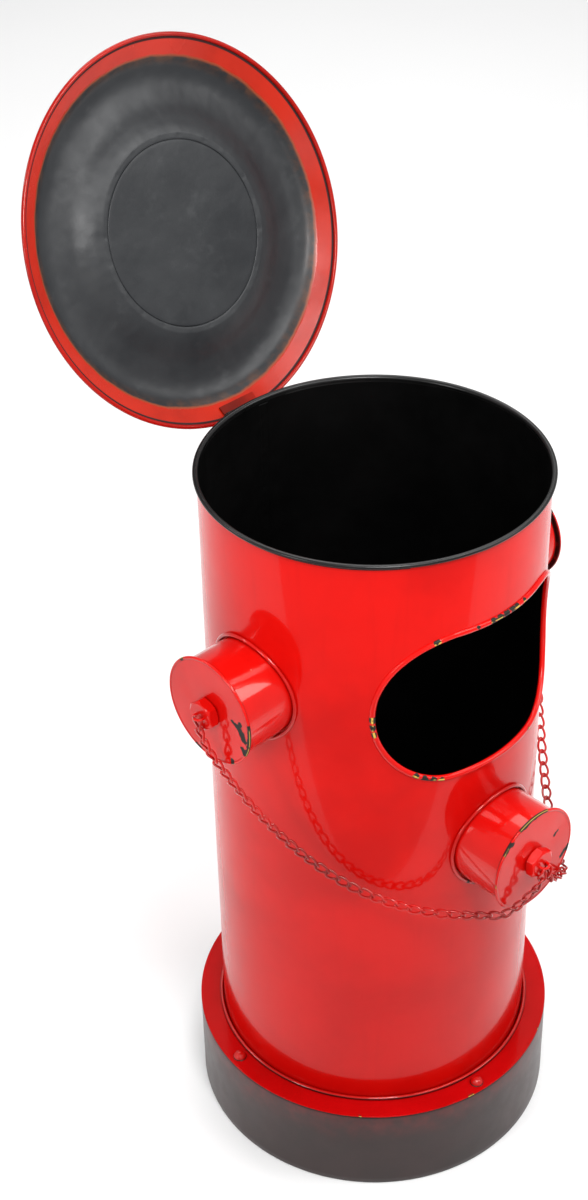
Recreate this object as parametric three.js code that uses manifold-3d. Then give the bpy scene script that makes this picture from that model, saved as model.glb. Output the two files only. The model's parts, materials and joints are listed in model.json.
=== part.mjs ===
// Hydrant-shaped ashtray bin: a steel tube on a low round plinth, three capped dummy outlets joined
// by two chains, a litter mouth in the front, and a hinged lid whose sunken middle is the ashtray.
// Millimetres, +Z up, origin at the centre of the underside, front (the mouth) towards -Y.
// The lid stands on its open stop; its hinge is at the back, and it closes by turning about +X.
import * as THREE from "three";
import { mergeVertices } from "three/addons/utils/BufferGeometryUtils.js";
import Module from "manifold-3d";

const wasm = await Module();
wasm.setup();

const GAP = 0.3; // clearance left between neighbouring pieces
const WALL = 1.2; // thickness of the sheet steel
const TURN = 64; // facets round a large ring
const SMALL_TURN = 32; // facets round an outlet
const BEAD_SIDES = 6; // facets round a thin bead's section

// Plinth and flange
const PLINTH_RADIUS = 158.3;
const PLINTH_HEIGHT = 87;
const FLANGE_THICKNESS = 1.5;
const FLOOR_THICKNESS = 1.5;
const FOOT_BEAD_RADIUS = 1.7;
const STUD_CIRCLE_RADIUS = 149;
const STUD_RADIUS = 5.5;
const STUD_HEIGHT = 5;
const STUD_COUNT = 4;
const STUD_TURN_DEG = -8; // the first stud's bearing, from the front towards +X

// Tube and its rolled rim
const TUBE_RADIUS = 137;
const RIM_TOP = 650;
const RIM_BEAD_RADIUS = 1.6;
const RIM_ROLL_OUT = 1.4; // how far outside the wall the rolled lip is centred

// Litter mouth: a slot with round ends, wrapped round the front of the tube
const MOUTH_HEIGHT = 509.6; // height of its centre
const MOUTH_END_RADIUS = 68.3; // to the middle of its bead
const MOUTH_HALF_FLAT = 42.3; // half the length between its end centres, measured round the tube
const MOUTH_BEAD_RADIUS = 2.35;

// Dummy outlets: one low at the front, one high on each side
const FRONT_OUTLET_HEIGHT = 357;
const SIDE_OUTLET_HEIGHT = 509;
const STUB_RADIUS = 42;
const COLLAR_RADIUS = 44.3;
const COLLAR_BEAD_RADIUS = 1.6;
const CAP_FACE = 179; // distance of the cap's face from the tube's axis
const CAP_THICKNESS = 1.8;
const CAP_RADIUS = 45.7;
const CAP_LIP_RADIUS = 1.2;
const NUT_FLATS = 23;
const NUT_THICKNESS = 9;
const STAPLE_WIRE_RADIUS = 1.1;
const STAPLE_HALF_SPAN = 4;
const STAPLE_REACH = 6;

// Chains: each is a hanging run of links, given here as a round cord along its middle
const CHAIN_CORD_RADIUS = 3;
const CHAIN_STEPS = 40;

// Lid, drawn closed: depth is measured up from the plane of its rim
const LID_RADIUS = 155;
const LID_RIM_HEIGHT = 640.8;
const LID_BEAD_RADIUS = 1.8;
const LID_SEAT_RADIUS = 138; // where the sloping flange meets the rounded shoulder
const LID_SEAT_DEPTH = 10;
const LID_SHOULDER = [130.5, 15.8]; // [radius, depth] half way round the shoulder
const LID_CREST = [119, 18]; // the fold's deepest ring
const LID_FALL = [[103, 15.8], [90, 10.6]]; // down the inner side of the fold
const TRAY_RADIUS = 73.4;
const TRAY_LIP_RADIUS = 80;
const TRAY_DEPTH = 7;
const TRAY_PLATE_RADIUS = 79;
const LID_OPEN_DEG = 111.8;

// Hinge at the back of the rim
const HINGE_DISTANCE = 147.7;
const HINGE_HEIGHT = 639.4;
const HINGE_HALF_LENGTH = 18;
const KNUCKLE_RADIUS = 2.6;
const KNUCKLE_BORE = 1.45;
const PIN_RADIUS = 1.15;
const PIN_HEAD_RADIUS = 2.2;
const LEAF_THICKNESS = 1.2;
const LEAF_DROP = 26; // height of the body leaf's plate against the tube
const LID_LEAF_REACH = 10; // from the barrel's axis to the lid leaf's far edge
const RIVET_RADIUS = 2.2;
const RIVET_HEIGHT = 1.3;
const RIVET_OFFSET = 10;

const red = (roughness) => new THREE.MeshStandardMaterial({ color: 0xc8160f, roughness, metalness: 0.1 });
const charcoal = () => new THREE.MeshStandardMaterial({ color: 0x3b3d40, roughness: 0.6, metalness: 0.2 });
const black = () => new THREE.MeshStandardMaterial({ color: 0x121212, roughness: 0.45, metalness: 0.2 });
const plinthBlack = () => new THREE.MeshStandardMaterial({ color: 0x2c2523, roughness: 0.5, metalness: 0.1 });
const darkSteel = () => new THREE.MeshStandardMaterial({ color: 0x3a2a26, roughness: 0.5, metalness: 0.7 });

const bin = new THREE.Group();

/** Adds one named piece to a group and returns its mesh. */
function piece(parent, name, geometry, material) {
  const mesh = new THREE.Mesh(geometry, material);
  mesh.name = name;
  parent.add(mesh);
  return mesh;
}

/** The geometry as a manifold-3d solid, with only merged positions kept. */
function solid(geometry) {
  const bare = new THREE.BufferGeometry();
  bare.setAttribute("position", geometry.getAttribute("position").clone());
  if (geometry.index) bare.setIndex(geometry.index.clone());
  const merged = mergeVertices(bare, 1e-4);
  return new wasm.Manifold(
    new wasm.Mesh({
      numProp: 3,
      vertProperties: new Float32Array(merged.attributes.position.array),
      triVerts: new Uint32Array(merged.index.array),
    }),
  );
}

/** A manifold-3d solid as a three.js geometry. */
function geometryOf(made) {
  const mesh = made.getMesh();
  const geometry = new THREE.BufferGeometry();
  geometry.setAttribute("position", new THREE.BufferAttribute(mesh.vertProperties, 3));
  geometry.setIndex(new THREE.BufferAttribute(mesh.triVerts, 1));
  geometry.computeVertexNormals();
  return geometry;
}

/** A solid of revolution about +Z from [radius, height] points. */
function turned(points, facets = TURN) {
  const profile = points.map(([radius, height]) => new THREE.Vector2(radius, height));
  return new THREE.LatheGeometry(profile, facets).rotateX(Math.PI / 2);
}

/** A ring with a rectangular section about +Z. */
function ring(inner, outer, bottom, top, facets = TURN) {
  return turned(
    [[inner, bottom], [outer, bottom], [outer, top], [inner, top], [inner, bottom]],
    facets,
  );
}

/** A round-section bead in a level circle. */
function bead(radius, height, thickness, sides = BEAD_SIDES) {
  return new THREE.TorusGeometry(radius, thickness, sides, TURN).translate(0, 0, height);
}

/** Points of an arc in a profile, from one angle to another in degrees. */
function arc(centreX, centreY, radius, fromDeg, toDeg, steps) {
  return Array.from({ length: steps + 1 }, (_, i) => {
    const angle = THREE.MathUtils.degToRad(fromDeg + ((toDeg - fromDeg) * i) / steps);
    return [centreX + radius * Math.cos(angle), centreY + radius * Math.sin(angle)];
  });
}

/** A box given by its lowest and highest corners. */
function block(low, high) {
  const size = high.map((value, i) => value - low[i]);
  const middle = high.map((value, i) => (value + low[i]) / 2);
  return new THREE.BoxGeometry(...size).translate(...middle);
}

/** A cylinder along +X between two x values, about the hinge's axis. */
function hingeCylinder(radius, fromX, toX, facets = 16) {
  return new THREE.CylinderGeometry(radius, radius, toX - fromX, facets)
    .rotateZ(Math.PI / 2)
    .translate((fromX + toX) / 2, HINGE_DISTANCE, HINGE_HEIGHT);
}

// ---------------------------------------------------------------- plinth

function addPlinth() {
  const flangeBottom = PLINTH_HEIGHT - FLANGE_THICKNESS;
  const edge = FLANGE_THICKNESS / 2; // the flange's outer edge is rounded over
  piece(
    bin,
    "bottom_plate",
    new THREE.CylinderGeometry(
      PLINTH_RADIUS - WALL - GAP,
      PLINTH_RADIUS - WALL - GAP,
      FLOOR_THICKNESS,
      TURN,
    )
      .rotateX(Math.PI / 2)
      .translate(0, 0, FLOOR_THICKNESS / 2),
    black(),
  );
  piece(
    bin,
    "plinth_skirt",
    ring(PLINTH_RADIUS - WALL, PLINTH_RADIUS, 0, flangeBottom - GAP),
    plinthBlack(),
  );
  piece(
    bin,
    "base_flange",
    turned([
      [TUBE_RADIUS + GAP, flangeBottom],
      ...arc(PLINTH_RADIUS - edge, flangeBottom + edge, edge, -90, 90, 4),
      [TUBE_RADIUS + GAP, PLINTH_HEIGHT],
      [TUBE_RADIUS + GAP, flangeBottom],
    ]),
    red(0.3),
  );
  piece(
    bin,
    "foot_bead",
    bead(
      TUBE_RADIUS + 2 * GAP + FOOT_BEAD_RADIUS,
      PLINTH_HEIGHT + GAP + FOOT_BEAD_RADIUS,
      FOOT_BEAD_RADIUS,
    ),
    red(0.25),
  );
  const dome = arc(0, 0, 1, 0, 90, 4).map(([x, y]) => [x * STUD_RADIUS, y * STUD_HEIGHT]);
  for (let i = 0; i < STUD_COUNT; i++) {
    const bearing = THREE.MathUtils.degToRad(STUD_TURN_DEG + (360 / STUD_COUNT) * i);
    piece(bin, `flange_stud_${i + 1}`, turned([[0, 0], ...dome], 12), red(0.3)).position.set(
      STUD_CIRCLE_RADIUS * Math.sin(bearing),
      -STUD_CIRCLE_RADIUS * Math.cos(bearing),
      PLINTH_HEIGHT + GAP,
    );
  }
}

// ---------------------------------------------------------------- tube and mouth

/** A slot outline with round ends, in arc length round the tube and height. */
class MouthLoop extends THREE.Curve {
  constructor(endRadius) {
    super();
    this.endRadius = endRadius;
  }

  /** The flat outline's point at a share of its perimeter, starting at the top middle. */
  flat(share) {
    const end = Math.PI * this.endRadius;
    const straight = 2 * MOUTH_HALF_FLAT;
    let run = (((share % 1) + 1) % 1) * 2 * (end + straight) + MOUTH_HALF_FLAT;
    if (run <= straight) return [run - MOUTH_HALF_FLAT, this.endRadius];
    run -= straight;
    if (run <= end) {
      const angle = Math.PI / 2 - run / this.endRadius;
      return [MOUTH_HALF_FLAT + this.endRadius * Math.cos(angle), this.endRadius * Math.sin(angle)];
    }
    run -= end;
    if (run <= straight) return [MOUTH_HALF_FLAT - run, -this.endRadius];
    run -= straight;
    if (run <= end) {
      const angle = -Math.PI / 2 - run / this.endRadius;
      return [-MOUTH_HALF_FLAT + this.endRadius * Math.cos(angle), this.endRadius * Math.sin(angle)];
    }
    run -= end;
    return [run - MOUTH_HALF_FLAT, this.endRadius];
  }

  getPoint(share, target = new THREE.Vector3()) {
    const [across, up] = this.flat(share);
    const bearing = across / TUBE_RADIUS;
    return target.set(
      TUBE_RADIUS * Math.sin(bearing),
      -TUBE_RADIUS * Math.cos(bearing),
      MOUTH_HEIGHT + up,
    );
  }
}

function addTube() {
  const steps = 56;
  const hole = new MouthLoop(MOUTH_END_RADIUS + MOUTH_BEAD_RADIUS + GAP);
  const outline = new THREE.Shape(
    Array.from({ length: steps }, (_, i) => {
      const point = hole.getPoint(i / steps);
      return new THREE.Vector2(point.x, point.z);
    }),
  );
  const cutter = new THREE.ExtrudeGeometry(outline, { depth: 2 * TUBE_RADIUS, bevelEnabled: false })
    .rotateX(Math.PI / 2);
  const shell = ring(
    TUBE_RADIUS - WALL,
    TUBE_RADIUS,
    FLOOR_THICKNESS + GAP,
    RIM_TOP - 2 * RIM_BEAD_RADIUS - GAP,
  );
  piece(bin, "body_tube", geometryOf(solid(shell).subtract(solid(cutter))), red(0.2));
  piece(
    bin,
    "rim_bead",
    bead(TUBE_RADIUS + RIM_ROLL_OUT, RIM_TOP - RIM_BEAD_RADIUS, RIM_BEAD_RADIUS, 8),
    black(),
  );
  const loop = new MouthLoop(MOUTH_END_RADIUS);
  piece(bin, "mouth_bead", new THREE.TubeGeometry(loop, steps, MOUTH_BEAD_RADIUS, 8, true), red(0.2));
}

// ---------------------------------------------------------------- outlets

/** The circle where an outlet of a given radius meets a cylinder round the tube. */
class SaddleLoop extends THREE.Curve {
  constructor(radius, distance) {
    super();
    this.radius = radius;
    this.distance = distance;
  }

  getPoint(share, target = new THREE.Vector3()) {
    const angle = 2 * Math.PI * share;
    const across = this.radius * Math.cos(angle);
    return target.set(
      across,
      -Math.sqrt(this.distance ** 2 - across ** 2),
      this.radius * Math.sin(angle),
    );
  }
}

/** One outlet facing -Y at height 0: collar, stub, cap, nut and chain staple. */
function outlet(name, nutTurnDeg) {
  const group = new THREE.Group();
  const outward = (points, facets) => turned(points, facets).rotateX(Math.PI / 2);

  const collarDistance = TUBE_RADIUS + GAP + COLLAR_BEAD_RADIUS;
  const collar = new SaddleLoop(COLLAR_RADIUS, collarDistance);
  piece(
    group,
    `${name}_collar`,
    new THREE.TubeGeometry(collar, SMALL_TURN, COLLAR_BEAD_RADIUS, BEAD_SIDES, true),
    red(0.25),
  );

  const capBack = CAP_FACE - CAP_THICKNESS;
  const stubEnd = capBack - GAP;
  const stubStart = TUBE_RADIUS - STUB_RADIUS;
  const pipe = outward(
    [
      [STUB_RADIUS - WALL, stubStart],
      [STUB_RADIUS, stubStart],
      [STUB_RADIUS, stubEnd],
      [STUB_RADIUS - WALL, stubEnd],
      [STUB_RADIUS - WALL, stubStart],
    ],
    SMALL_TURN,
  );
  const tubeRoom = new THREE.CylinderGeometry(
    TUBE_RADIUS + GAP,
    TUBE_RADIUS + GAP,
    3 * STUB_RADIUS,
    2 * TURN,
  ).rotateX(Math.PI / 2);
  piece(group, `${name}_stub`, geometryOf(solid(pipe).subtract(solid(tubeRoom))), red(0.2));

  const lipCentre = CAP_RADIUS - CAP_LIP_RADIUS;
  piece(
    group,
    `${name}_cap`,
    outward(
      [
        [0, capBack],
        ...arc(lipCentre, CAP_FACE - CAP_THICKNESS / 2, CAP_LIP_RADIUS, -130, 130, 4),
        [0, CAP_FACE],
      ],
      SMALL_TURN,
    ),
    red(0.3),
  );

  const nutBack = CAP_FACE + GAP;
  const nutRadius = NUT_FLATS / 2 / Math.cos(Math.PI / 6);
  const nut = new THREE.CylinderGeometry(nutRadius, nutRadius, NUT_THICKNESS, 6)
    .rotateY(THREE.MathUtils.degToRad(90 - nutTurnDeg))
    .translate(0, -nutBack - NUT_THICKNESS / 2, 0);
  piece(group, `${name}_nut`, nut, red(0.3));

  const root = nutBack + NUT_THICKNESS + GAP;
  const straight = STAPLE_REACH - STAPLE_HALF_SPAN - STAPLE_WIRE_RADIUS;
  const wire = new THREE.CurvePath();
  const at = (across, out) => new THREE.Vector3(across, -root - out, 0);
  wire.add(new THREE.LineCurve3(at(-STAPLE_HALF_SPAN, 0), at(-STAPLE_HALF_SPAN, straight)));
  const bow = Array.from({ length: 9 }, (_, i) => {
    const angle = Math.PI * (1 - i / 8);
    return at(STAPLE_HALF_SPAN * Math.cos(angle), straight + STAPLE_HALF_SPAN * Math.sin(angle));
  });
  wire.add(new THREE.CatmullRomCurve3(bow));
  wire.add(new THREE.LineCurve3(at(STAPLE_HALF_SPAN, straight), at(STAPLE_HALF_SPAN, 0)));
  const section = new THREE.Shape().absarc(0, 0, STAPLE_WIRE_RADIUS, 0, 2 * Math.PI);
  piece(
    group,
    `${name}_staple`,
    new THREE.ExtrudeGeometry(section, {
      steps: 14,
      curveSegments: 3,
      extrudePath: wire,
    }),
    red(0.3),
  );
  return group;
}

function addOutlets() {
  const front = outlet("front_outlet", 0);
  front.position.z = FRONT_OUTLET_HEIGHT;
  const left = outlet("left_outlet", 10);
  left.position.z = SIDE_OUTLET_HEIGHT;
  left.rotation.z = -Math.PI / 2;
  const right = outlet("right_outlet", 20);
  right.position.z = SIDE_OUTLET_HEIGHT;
  right.rotation.z = Math.PI / 2;
  bin.add(front, left, right);
}

// ---------------------------------------------------------------- chains

// The left chain's middle line, from the left staple to the front one. It hangs clear of the tube
// and passes over the lower edge of the front cap. The right chain is its mirror image.
const CHAIN_ROUTE = [
  [-191.8, -0.6, 506.4],
  [-191.2, -3.4, 494],
  [-187.6, -9.8, 477.3],
  [-181.4, -16.8, 460],
  [-173.9, -24.8, 441],
  [-165.2, -34.5, 420.5],
  [-155.2, -45.7, 400.4],
  [-141.9, -60.6, 377.4],
  [-128.5, -75.5, 358.8],
  [-115.2, -90.4, 344],
  [-101.9, -105.3, 332.8],
  [-88.5, -120.2, 324.9],
  [-75.2, -135.2, 320.1],
  [-61.9, -150.1, 318.4],
  [-49, -165.4, 319.4],
  [-40, -177.5, 321.6],
  [-33.8, -183.2, 323.8],
  [-19.5, -187.2, 330.6],
  [-8, -189.6, 337.6],
  [-3.7, -191.4, 346.5],
  [-3.4, -191.8, 354.4],
];

function addChains() {
  for (const [name, side] of [["chain_left", 1], ["chain_right", -1]]) {
    const points = CHAIN_ROUTE.map(([x, y, z]) => new THREE.Vector3(side * x, y, z));
    const section = new THREE.Shape().absarc(0, 0, CHAIN_CORD_RADIUS, 0, 2 * Math.PI);
    const cord = new THREE.ExtrudeGeometry(section, {
      steps: CHAIN_STEPS,
      curveSegments: 4,
      extrudePath: new THREE.CatmullRomCurve3(points, false, "centripetal"),
    });
    piece(bin, name, cord, red(0.3));
  }
}

// ---------------------------------------------------------------- lid and hinge

/** The lid's sheet from its flange to the lip round the ashtray, as inner-face [radius, depth] points. */
function lidCurve() {
  const slope = LID_SEAT_DEPTH / (LID_RADIUS - LID_SEAT_RADIUS);
  const start = LID_RADIUS - 2 * LID_BEAD_RADIUS - GAP;
  const flange = [[start, (LID_RADIUS - start) * slope + GAP]];
  const swell = new THREE.SplineCurve([
    new THREE.Vector2(LID_SEAT_RADIUS, LID_SEAT_DEPTH),
    ...[LID_SHOULDER, LID_CREST, ...LID_FALL].map((point) => new THREE.Vector2(...point)),
    new THREE.Vector2(TRAY_LIP_RADIUS, TRAY_DEPTH),
  ]);
  const shoulder = swell.getPoints(9).map((point) => [point.x, point.y]);
  return [...flange, ...shoulder, [TRAY_RADIUS, TRAY_DEPTH]];
}

function addLid() {
  const lid = new THREE.Group();
  lid.position.set(0, HINGE_DISTANCE, HINGE_HEIGHT);
  lid.rotation.x = THREE.MathUtils.degToRad(-LID_OPEN_DEG);
  bin.add(lid);
  const closed = new THREE.Group();
  closed.position.set(0, -HINGE_DISTANCE, -HINGE_HEIGHT);
  lid.add(closed);

  const inner = lidCurve();
  const outer = inner.map(([radius, depth]) => [radius, depth + WALL]).reverse();
  const sheet = [...inner, ...outer, inner[0]].reverse();
  piece(
    closed,
    "lid_shell",
    turned(sheet.map(([radius, depth]) => [radius, LID_RIM_HEIGHT + depth])),
    red(0.3),
  );
  piece(
    closed,
    "lid_rim_bead",
    bead(LID_RADIUS - LID_BEAD_RADIUS, LID_RIM_HEIGHT + LID_BEAD_RADIUS, LID_BEAD_RADIUS),
    red(0.25),
  );
  const plateBottom = LID_RIM_HEIGHT + TRAY_DEPTH + WALL + GAP;
  piece(
    closed,
    "ashtray_plate",
    new THREE.CylinderGeometry(TRAY_PLATE_RADIUS, TRAY_PLATE_RADIUS, WALL, TURN)
      .rotateX(Math.PI / 2)
      .translate(0, 0, plateBottom + WALL / 2),
    charcoal(),
  );
  addHinge(closed);
}

/** Ends of the barrel's five knuckles along X, from -X to +X. */
function knuckles() {
  const length = (2 * HINGE_HALF_LENGTH - 4 * GAP) / 5;
  return Array.from({ length: 5 }, (_, i) => {
    const start = -HINGE_HALF_LENGTH + i * (length + GAP);
    return [start, start + length];
  });
}

/** A leaf: its plates joined to its own knuckles, cleared for the other leaf's knuckles and bored. */
function leaf(plates, own, others) {
  let made = solid(plates[0]);
  for (const plate of plates.slice(1)) made = made.add(solid(plate));
  for (const [from, to] of others) {
    made = made.subtract(solid(hingeCylinder(KNUCKLE_RADIUS + GAP, from - GAP, to + GAP)));
  }
  for (const [from, to] of own) made = made.add(solid(hingeCylinder(KNUCKLE_RADIUS, from, to)));
  const bore = hingeCylinder(KNUCKLE_BORE, -2 * HINGE_HALF_LENGTH, 2 * HINGE_HALF_LENGTH);
  return geometryOf(made.subtract(solid(bore)));
}

function addHinge(closedLid) {
  const all = knuckles();
  const bodyKnuckles = all.filter((_, i) => i % 2 === 0);
  const lidKnuckles = all.filter((_, i) => i % 2 === 1);

  // The body leaf is an L: a plate against the tube under the rim bead, and an arm out to the barrel.
  const plateBack = TUBE_RADIUS + GAP;
  const armTop = HINGE_HEIGHT + LEAF_THICKNESS / 2;
  const plate = block(
    [-HINGE_HALF_LENGTH, plateBack, armTop - LEAF_DROP],
    [HINGE_HALF_LENGTH, plateBack + LEAF_THICKNESS, armTop],
  );
  const arms = bodyKnuckles.map(([from, to]) =>
    block([from, plateBack, armTop - LEAF_THICKNESS], [to, HINGE_DISTANCE, armTop]),
  );
  piece(bin, "hinge_leaf_body", leaf([plate, ...arms], bodyKnuckles, lidKnuckles), darkSteel());

  // The lid leaf lies under the lid's sloping flange and turns down to the barrel.
  const slope = Math.atan2(LID_SEAT_DEPTH, LID_RADIUS - LID_SEAT_RADIUS);
  const flangeAboveAxis =
    LID_RIM_HEIGHT + (LID_RADIUS - HINGE_DISTANCE) * Math.tan(slope) - HINGE_HEIGHT;
  const leafTop = flangeAboveAxis * Math.cos(slope) - 3 * GAP;
  const sloping = (low, high) =>
    block(low, high).rotateX(-slope).translate(0, HINGE_DISTANCE, HINGE_HEIGHT);
  const leafPlate = sloping(
    [-HINGE_HALF_LENGTH, -LID_LEAF_REACH, leafTop - LEAF_THICKNESS],
    [HINGE_HALF_LENGTH, -KNUCKLE_RADIUS - GAP, leafTop],
  );
  const tabs = lidKnuckles.map(([from, to]) =>
    sloping([from, -KNUCKLE_RADIUS - 1, leafTop - LEAF_THICKNESS], [to, KNUCKLE_BORE, leafTop]),
  );
  const stems = lidKnuckles.map(([from, to]) =>
    sloping([from, -KNUCKLE_BORE, 0], [to, KNUCKLE_BORE, leafTop - LEAF_THICKNESS / 2]),
  );
  piece(
    closedLid,
    "hinge_leaf_lid",
    leaf([leafPlate, ...tabs, ...stems], lidKnuckles, bodyKnuckles),
    darkSteel(),
  );

  const pinEnd = HINGE_HALF_LENGTH + GAP;
  const shank = solid(hingeCylinder(PIN_RADIUS, -pinEnd - 1, pinEnd + 1));
  const heads = [-1, 1].map((side) => {
    const ends = [side * pinEnd, side * (pinEnd + 1.4)].sort((a, b) => a - b);
    return solid(hingeCylinder(PIN_HEAD_RADIUS, ends[0], ends[1]));
  });
  piece(bin, "hinge_pin", geometryOf(shank.add(heads[0]).add(heads[1])), darkSteel());

  const rivet = arc(0, 0, 1, 0, 90, 3).map(([x, y]) => [x * RIVET_RADIUS, y * RIVET_HEIGHT]);
  for (const [name, side] of [["left", -1], ["right", 1]]) {
    const head = turned([[0, 0], ...rivet], 12).rotateX(-Math.PI / 2);
    piece(bin, `hinge_rivet_${name}`, head, darkSteel()).position.set(
      side * RIVET_OFFSET,
      plateBack + LEAF_THICKNESS + GAP,
      armTop - LEAF_DROP / 2,
    );
  }
}

addPlinth();
addTube();
addOutlets();
addChains();
addLid();

export default bin;
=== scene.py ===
"""Looks of a hydrant-shaped ashtray bin: glossy red enamel on sheet steel, chipped to a dark undercoat at its
edges, with twisted-link chains and an open lid of hand-beaten charcoal sheet. The object's sizes are in
millimetres, in the CAD's frame, and become metres as each mesh is made."""

import json
import math

import bpy
import numpy as np
from mathutils import Matrix, Vector, noise


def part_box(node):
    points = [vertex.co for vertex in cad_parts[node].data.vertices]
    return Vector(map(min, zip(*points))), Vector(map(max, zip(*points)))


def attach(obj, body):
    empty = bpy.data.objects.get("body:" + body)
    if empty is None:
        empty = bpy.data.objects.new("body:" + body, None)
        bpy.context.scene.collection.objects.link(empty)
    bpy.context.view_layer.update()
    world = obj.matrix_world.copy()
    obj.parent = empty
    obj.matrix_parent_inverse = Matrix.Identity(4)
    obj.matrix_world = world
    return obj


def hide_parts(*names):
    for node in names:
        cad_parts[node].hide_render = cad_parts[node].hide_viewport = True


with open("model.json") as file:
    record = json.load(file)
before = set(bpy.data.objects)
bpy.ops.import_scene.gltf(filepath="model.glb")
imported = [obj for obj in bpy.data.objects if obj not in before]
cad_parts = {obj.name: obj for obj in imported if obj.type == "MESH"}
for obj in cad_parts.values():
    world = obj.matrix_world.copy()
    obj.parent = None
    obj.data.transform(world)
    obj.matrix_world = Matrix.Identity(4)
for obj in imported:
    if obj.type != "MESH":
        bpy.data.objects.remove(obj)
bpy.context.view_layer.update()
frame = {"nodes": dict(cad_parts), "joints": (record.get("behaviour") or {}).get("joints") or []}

MM = 0.001
TAU = 2 * math.pi
RNG = np.random.default_rng(7)
ROUND_STEPS = 320  # sides of the large round pieces
LOOP_STEPS = 360  # points round the large wire loops

# ---------- sizes, in millimetres, from the frame


def node_box(node):
    """A CAD node's lowest and highest corners in millimetres."""
    low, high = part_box(node)
    return low / MM, high / MM


TUBE = node_box("body_tube")[1].x  # the tube's outer radius
WALL = 1.2
RIM_TOP = node_box("rim_bead")[1].z
RIM_OUT = node_box("rim_bead")[1].x
PLINTH = node_box("plinth_skirt")[1].x
FLANGE_TOP = node_box("base_flange")[1].z
FLANGE_BOTTOM = node_box("base_flange")[0].z
CAP_FACE = -node_box("front_outlet_cap")[0].y
CAP_BACK = -node_box("front_outlet_cap")[1].y
CAP_RADIUS = node_box("front_outlet_cap")[1].x
STUB = node_box("front_outlet_stub")[1].x
FRONT_HEIGHT = sum(node_box("front_outlet_cap")[i].z for i in (0, 1)) / 2
SIDE_HEIGHT = sum(node_box("left_outlet_cap")[i].z for i in (0, 1)) / 2
NUT_FACE = -node_box("front_outlet_nut")[0].y
MOUTH_LOW, MOUTH_HIGH = (node_box("mouth_bead")[i].z for i in (0, 1))
MOUTH_BEAD = 2.35
MOUTH_HEIGHT = (MOUTH_LOW + MOUTH_HIGH) / 2
MOUTH_END = (MOUTH_HIGH - MOUTH_LOW) / 2 - MOUTH_BEAD
MOUTH_FLAT = 42.3  # half the straight run between the mouth's round ends, measured round the tube

JOINT = frame["joints"][0]
HINGE = Vector(JOINT["pos_m"])
OPEN_LID = (
    Matrix.Translation(HINGE)
    @ Matrix.Rotation(-math.radians(JOINT["range_deg"][1]), 4, "X")
    @ Matrix.Translation(-HINGE)
)
LID_RIM = 640.8  # height of the closed lid's rim plane
LID_RADIUS = 155.0
LID_BEAD = 1.8


def new_object(name, data):
    """An object of that name in the scene."""
    thing = bpy.data.objects.new(name, data)
    bpy.context.scene.collection.objects.link(thing)
    return thing


# ---------- camera

CAMERA_LENS = 62.32  # mm, on a 36 mm sensor
CAMERA_PLACE = (-0.9746, -0.9475, 1.4902)
CAMERA_TURN, CAMERA_TILT, CAMERA_ROLL = (math.radians(angle) for angle in (-43.103, 54.543, -1.372))
CAMERA_MATRIX = (
    Matrix.Translation(CAMERA_PLACE)
    @ Matrix.Rotation(CAMERA_TURN, 4, "Z")
    @ Matrix.Rotation(CAMERA_TILT, 4, "X")
    @ Matrix.Rotation(CAMERA_ROLL, 4, "Z")
)
camera = new_object("camera", bpy.data.cameras.new("camera"))
camera.data.lens = CAMERA_LENS
camera.data.sensor_width = 36
camera.matrix_world = CAMERA_MATRIX
bpy.context.scene.camera = camera
bpy.context.scene.view_settings.view_transform = "Standard"

# ---------- mesh helpers (millimetres in, metres out)


def add_piece(name, verts, faces, body, materials, place=None, stands_for=(), sharp=35):
    """A smooth mesh piece from points in millimetres, riding on a body."""
    mesh = bpy.data.meshes.new(name)
    mesh.from_pydata((np.asarray(verts, float) * MM).tolist(), [], [list(map(int, f)) for f in faces])
    mesh.validate()
    if place is not None:
        mesh.transform(place)
    mesh.polygons.foreach_set("use_smooth", [True] * len(mesh.polygons))
    if sharp:
        mesh.set_sharp_from_angle(angle=math.radians(sharp))
    for material in materials if isinstance(materials, (list, tuple)) else [materials]:
        mesh.materials.append(material)
    piece = new_object(name, mesh)
    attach(piece, body)
    if stands_for:
        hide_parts(*stands_for)
    return piece


def paint(piece, name, values):
    """A number for each vertex, read by the materials."""
    layer = piece.data.attributes.new(name, "FLOAT", "POINT")
    layer.data.foreach_set("value", np.asarray(values, np.float32))


def grid(rows, columns, wrap_rows=False, wrap_columns=False, start=0):
    """Quads over a grid of points numbered row by row."""
    i = np.arange(rows if wrap_rows else rows - 1)
    j = np.arange(columns if wrap_columns else columns - 1)
    i, j = (a.ravel() for a in np.meshgrid(i, j, indexing="ij"))
    i2, j2 = (i + 1) % rows, (j + 1) % columns
    return start + np.stack([i * columns + j, i * columns + j2, i2 * columns + j2, i2 * columns + j], 1)


def revolve(profile, steps, closed=True):
    """Points and quads of a ring-shaped solid about Z. A profile point is (radius, height)."""
    profile = np.asarray(profile, float)
    angles = np.arange(steps) * TAU / steps
    verts = np.stack(
        [
            np.outer(profile[:, 0], np.cos(angles)),
            np.outer(profile[:, 0], np.sin(angles)),
            np.repeat(profile[:, 1:2], steps, 1),
        ],
        -1,
    ).reshape(-1, 3)
    return verts, grid(len(profile), steps, wrap_rows=closed, wrap_columns=True)


def revolve_capped(profile, steps):
    """As revolve, for a profile that starts and ends on the axis."""
    profile = np.asarray(profile, float)
    verts, faces = revolve(profile[1:-1], steps, closed=False)
    count, last = len(verts), len(profile) - 3
    verts = np.vstack([verts, [[0, 0, profile[0, 1]], [0, 0, profile[-1, 1]]]])
    j = np.arange(steps)
    k = (j + 1) % steps
    low = np.stack([np.full(steps, count), k, j], 1)
    high = np.stack([np.full(steps, count + 1), last * steps + j, last * steps + k], 1)
    return verts, [*faces.tolist(), *low.tolist(), *high.tolist()]


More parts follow.
